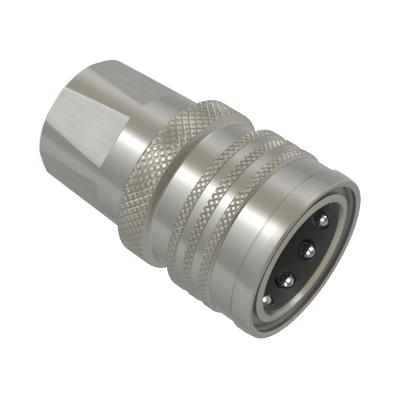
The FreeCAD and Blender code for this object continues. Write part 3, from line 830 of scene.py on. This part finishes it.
def make_ball(node_name):
    """A locking ball of even quads, with no poles, where its node lies."""
    low, high = (Vector(corner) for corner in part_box(node_name))
    centre = (low + high) / 2
    radius = (high.x - low.x) / 2
    shell = bmesh.new()
    bmesh.ops.create_cube(shell, size=2.0)
    bmesh.ops.subdivide_edges(shell, edges=shell.edges[:], cuts=BALL_CUTS, use_grid_fill=True)
    for point in shell.verts:
        spread = Vector(math.tan(part * math.pi / 4) for part in point.co)
        point.co = centre + radius * spread.normalized()
    mesh = bpy.data.meshes.new(node_name)
    shell.to_mesh(mesh)
    shell.free()
    mesh.materials.append(BALLS)
    mesh.shade_smooth()
    piece = placed(node_name + "_dressed", mesh)
    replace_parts(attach(piece, node_name.replace("locking_", "")), node_name)
    return piece


make_adapter()
make_front_body()
make_sleeve()
make_spring("sleeve_spring", SLEEVE_SPRING)
make_spring("valve_spring", VALVE_SPRING)
ball_group = bpy.data.collections.new("balls")
ball_names = [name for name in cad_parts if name.startswith("locking_ball")]
for name in ball_names:
    ball_group.objects.link(make_ball(name))

# Finishes of the pieces that keep their own shape
FINISHES = {
    # The retaining ring takes the darker inner steel: painted shade in the gap where it sits.
    "sleeve_retaining_ring": INNER_PAINTED_SHADE,
    "poppet": INNER_PAINTED_SHADE,
    "valve_guide": INNER_PAINTED_SHADE,
    "poppet_seal": RUBBER,
    "nipple_seal": RUBBER,
    "body_seal": RUBBER,
    "backup_ring": PLASTIC,
}
for name, material in FINISHES.items():
    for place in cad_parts[name].material_slots:
        place.link = "OBJECT"
        place.material = material

# Camera: the photograph's view, rolled so that the mouth points down to the right
CAMERA_AZIMUTH = -4.53
CAMERA_ELEVATION = 25.68
CAMERA_ROLL = 123.11
CAMERA_TARGET = Vector((1.31, -0.10, 32.44))
CAMERA_DISTANCE = 219.52
CAMERA_LENS = 99.71
CAMERA_SENSOR = 36.0
CAMERA_NEAR = 0.01
CAMERA_FAR = 20.0

# Floor: its reach each way, how far it lies under the part, and its tones
FLOOR_REACH = 3.0
FLOOR_DROP = 0.0001
FLOOR_SHADOW_TONE = (0.45, 0.45, 0.45, 1)
FLOOR_GLOW = 0.72
FLOOR_BOUNCE_TONE = (0.8, 0.8, 0.8, 1)
WHITE = (1, 1, 1, 1)


def bearing(azimuth, elevation):
    """The direction from the part to a place at an azimuth, which counts from -Y, and an elevation."""
    turn = math.radians(azimuth)
    lift = math.radians(elevation)
    return Vector((math.sin(turn) * math.cos(lift), -math.cos(turn) * math.cos(lift), math.sin(lift)))


def make_camera():
    """A camera at the photograph's viewing angle."""
    azimuth = math.radians(CAMERA_AZIMUTH)
    back = bearing(CAMERA_AZIMUTH, CAMERA_ELEVATION)
    level = Vector((math.cos(azimuth), math.sin(azimuth), 0))
    right = Matrix.Rotation(math.radians(CAMERA_ROLL), 3, back) @ level
    upward = back.cross(right)
    data = bpy.data.cameras.new("camera")
    data.lens = CAMERA_LENS
    data.sensor_width = CAMERA_SENSOR
    data.clip_start = CAMERA_NEAR
    data.clip_end = CAMERA_FAR
    camera = placed("camera", data)
    place = (CAMERA_TARGET + back * CAMERA_DISTANCE) * MM
    camera.matrix_world = Matrix.Translation(place) @ Matrix((right, upward, back)).transposed().to_4x4()
    bpy.context.scene.camera = camera


def shader_choice(tree, factor, first, second):
    """The second shader where the factor is 1, and the first where it is 0."""
    return node(tree, "ShaderNodeMixShader", _0=factor, _1=first, _2=second).outputs[0]


def make_floor():
    """A plain white floor that keeps a soft shadow."""
    reach = FLOOR_REACH
    corners = [(-reach, -reach, 0), (reach, -reach, 0), (reach, reach, 0), (-reach, reach, 0)]
    mesh = bpy.data.meshes.new("floor")
    mesh.from_pydata(corners, [], [(0, 1, 2, 3)])
    floor = placed("floor", mesh)
    material = bpy.data.materials.new("floor_white")
    material.use_nodes = True
    tree = material.node_tree
    tree.nodes.clear()
    output = tree.nodes.new("ShaderNodeOutputMaterial")
    path = node(tree, "ShaderNodeLightPath")
    matt = node(tree, "ShaderNodeBsdfDiffuse", Color=FLOOR_SHADOW_TONE)
    glow = node(tree, "ShaderNodeEmission", Color=WHITE, Strength=FLOOR_GLOW)
    both = node(tree, "ShaderNodeAddShader", _0=matt.outputs[0], _1=glow.outputs[0])
    plain = node(tree, "ShaderNodeBsdfDiffuse", Color=FLOOR_BOUNCE_TONE)
    seen = shader_choice(tree, path.outputs["Is Camera Ray"], plain.outputs[0], both.outputs[0])
    tree.links.new(seen, output.inputs["Surface"])
    mesh.materials.append(material)
    floor.location.z = -FLOOR_DROP
    floor.visible_glossy = False


# Studio: light levels round the coupling's axis, by angle from the camera's side towards the picture's top.
# The lists follow each other upwards: the light from below, what upright walls mirror, what rounded edges
# mirror and the light from above. Each layer rises into the next between two heights on a sphere of radius 1.
LOW_LIGHT = [
    (-180, (0.50, 0.50, 0.49)),
    (-110, (0.60, 0.60, 0.58)),
    (-75, (0.68, 0.68, 0.66)),
    (0, (0.70, 0.70, 0.68)),
    (75, (0.80, 0.80, 0.78)),
    (111, (2.30, 2.30, 2.26)),
    (150, (1.50, 1.50, 1.47)),
    (180, (0.50, 0.50, 0.49)),
]
WALL_LIGHT = [
    (-180, (0.36, 0.36, 0.36)),
    (-130, (0.37, 0.37, 0.37)),
    (-98, (0.53, 0.53, 0.52)),
    (-72, (0.62, 0.62, 0.60)),
    (-66, (0.40, 0.40, 0.39)),
    (-50, (0.43, 0.43, 0.42)),
    (-32, (0.60, 0.60, 0.59)),
    (-16, (0.90, 0.90, 0.89)),
    (-7, (1.15, 1.15, 1.14)),
    (-1, (1.60, 1.60, 1.60)),
    (4, (2.10, 2.10, 2.10)),
    (13, (2.10, 2.10, 2.10)),
    (18, (1.10, 1.10, 1.07)),
    (24, (0.60, 0.59, 0.54)),
    (34, (0.50, 0.49, 0.42)),
    (46, (0.51, 0.50, 0.43)),
    (56, (0.66, 0.65, 0.61)),
    (66, (0.88, 0.88, 0.85)),
    (82, (0.70, 0.70, 0.68)),
    (106, (0.43, 0.43, 0.43)),
    (150, (0.56, 0.56, 0.58)),
    (180, (0.36, 0.36, 0.36)),
]
HIGH_LIGHT = [
    (-180, (0.36, 0.36, 0.35)),
    (-128, (0.52, 0.52, 0.48)),
    (-64, (0.54, 0.54, 0.50)),
    (-32, (0.50, 0.50, 0.45)),
    (0, (0.58, 0.55, 0.45)),
    (32, (0.51, 0.47, 0.38)),
    (53, (0.58, 0.56, 0.48)),
    (60, (1.20, 1.20, 1.16)),
    (77, (1.20, 1.20, 1.16)),
    (86, (0.60, 0.58, 0.52)),
    (128, (0.67, 0.66, 0.63)),
    (180, (0.36, 0.36, 0.35)),
]
TOP_LIGHT = [
    (-180, (0.46, 0.45, 0.42)),
    (-140, (0.48, 0.48, 0.45)),
    (-110, (0.50, 0.49, 0.46)),
    (-60, (0.35, 0.33, 0.29)),
    (0, (0.22, 0.19, 0.14)),
    (60, (0.35, 0.33, 0.29)),
    (110, (0.62, 0.61, 0.57)),
    (180, (0.46, 0.45, 0.42)),
]
WALL_RISE = (-0.82, -0.66)
HIGH_RISE = (-0.06, 0.04)
TOP_RISE = (0.35, 0.60)
DIFFUSE_LEVEL = 0.75


def layered(tree, height, rise, lower, upper):
    """Light levels that change from a lower to an upper layer as the height rises."""
    ends = {"From Min": rise[0], "From Max": rise[1]}
    blend = node(tree, "ShaderNodeMapRange", {"interpolation_type": "SMOOTHSTEP"}, Value=height, **ends)
    return mixed(tree, blend.outputs[0], lower, upper)


def panel_ramp(tree, share, panels):
    """Light levels by share of a turn round the axis."""
    ramp = node(tree, "ShaderNodeValToRGB", Fac=share)
    stops = ramp.color_ramp.elements
    while len(stops) > 1:
        stops.remove(stops[-1])
    for number, (degrees, colour) in enumerate(panels):
        place = (degrees + 180) / 360
        stop = stops[0] if number == 0 else stops.new(place)
        stop.position = place
        stop.color = (*colour, 1)
    return ramp.outputs["Color"]


def studio_levels(tree):
    """The studio's light levels by direction, in broad panels round the axis."""
    x, y, height = separated(tree, node(tree, "ShaderNodeTexCoord").outputs["Generated"])
    camera_side = math.radians(CAMERA_AZIMUTH - 90)
    cosine = math.cos(camera_side)
    sine = math.sin(camera_side)
    along = sum_of_products(tree, (x, cosine), (y, sine))
    across = sum_of_products(tree, (x, sine), (y, -cosine))
    angle = math_node(tree, "ARCTAN2", across, along)
    share = math_node(tree, "ADD", math_node(tree, "DIVIDE", angle, TURN), 0.5)
    levels = panel_ramp(tree, share, LOW_LIGHT)
    for rise, panels in ((WALL_RISE, WALL_LIGHT), (HIGH_RISE, HIGH_LIGHT), (TOP_RISE, TOP_LIGHT)):
        levels = layered(tree, height, rise, levels, panel_ramp(tree, share, panels))
    return levels


def make_world():
    """A white background, and soft studio surroundings that the steel mirrors."""
    world = bpy.data.worlds.new("studio")
    bpy.context.scene.world = world
    world.use_nodes = True
    tree = world.node_tree
    tree.nodes.clear()
    output = tree.nodes.new("ShaderNodeOutputWorld")
    path = node(tree, "ShaderNodeLightPath")
    panels = node(tree, "ShaderNodeBackground", Color=studio_levels(tree), Strength=1.0)
    plain = node(tree, "ShaderNodeBackground", Color=WHITE, Strength=DIFFUSE_LEVEL)
    white = node(tree, "ShaderNodeBackground", Color=WHITE, Strength=1.0)
    lit = shader_choice(tree, path.outputs["Is Glossy Ray"], plain.outputs[0], panels.outputs[0])
    direct = math_node(tree, "MAXIMUM", path.outputs["Is Camera Ray"], path.outputs["Is Transmission Ray"])
    tree.links.new(shader_choice(tree, direct, lit, white.outputs[0]), output.inputs["Surface"])


def make_lamp(name, azimuth, elevation, distance, size, power, group=None):
    """A soft square lamp that faces the middle of the coupling, placed as seen from the camera's side.

    A lamp with a group lights that group alone and shows in it. One without lights all and shows in nothing.
    """
    data = bpy.data.lights.new(name, "AREA")
    data.size = size
    data.energy = power
    lamp = placed(name, data)
    toward = bearing(CAMERA_AZIMUTH - azimuth, elevation)
    lamp.location = CAMERA_TARGET * MM + toward * distance
    lamp.rotation_euler = (-toward).to_track_quat("-Z", "Y").to_euler()
    lamp.visible_glossy = group is not None
    lamp.light_linking.receiver_collection = group


make_camera()
make_floor()
make_world()
make_lamp("top_lamp", azimuth=40, elevation=70, distance=0.6, size=0.5, power=3.0)
make_lamp("upper_ball_lamp", azimuth=36, elevation=32, distance=0.5, size=0.36, power=0.80, group=ball_group)
make_lamp("lower_ball_lamp", azimuth=-34, elevation=28, distance=0.5, size=0.32, power=0.64, group=ball_group)
bpy.context.scene.view_settings.view_transform = "Standard"
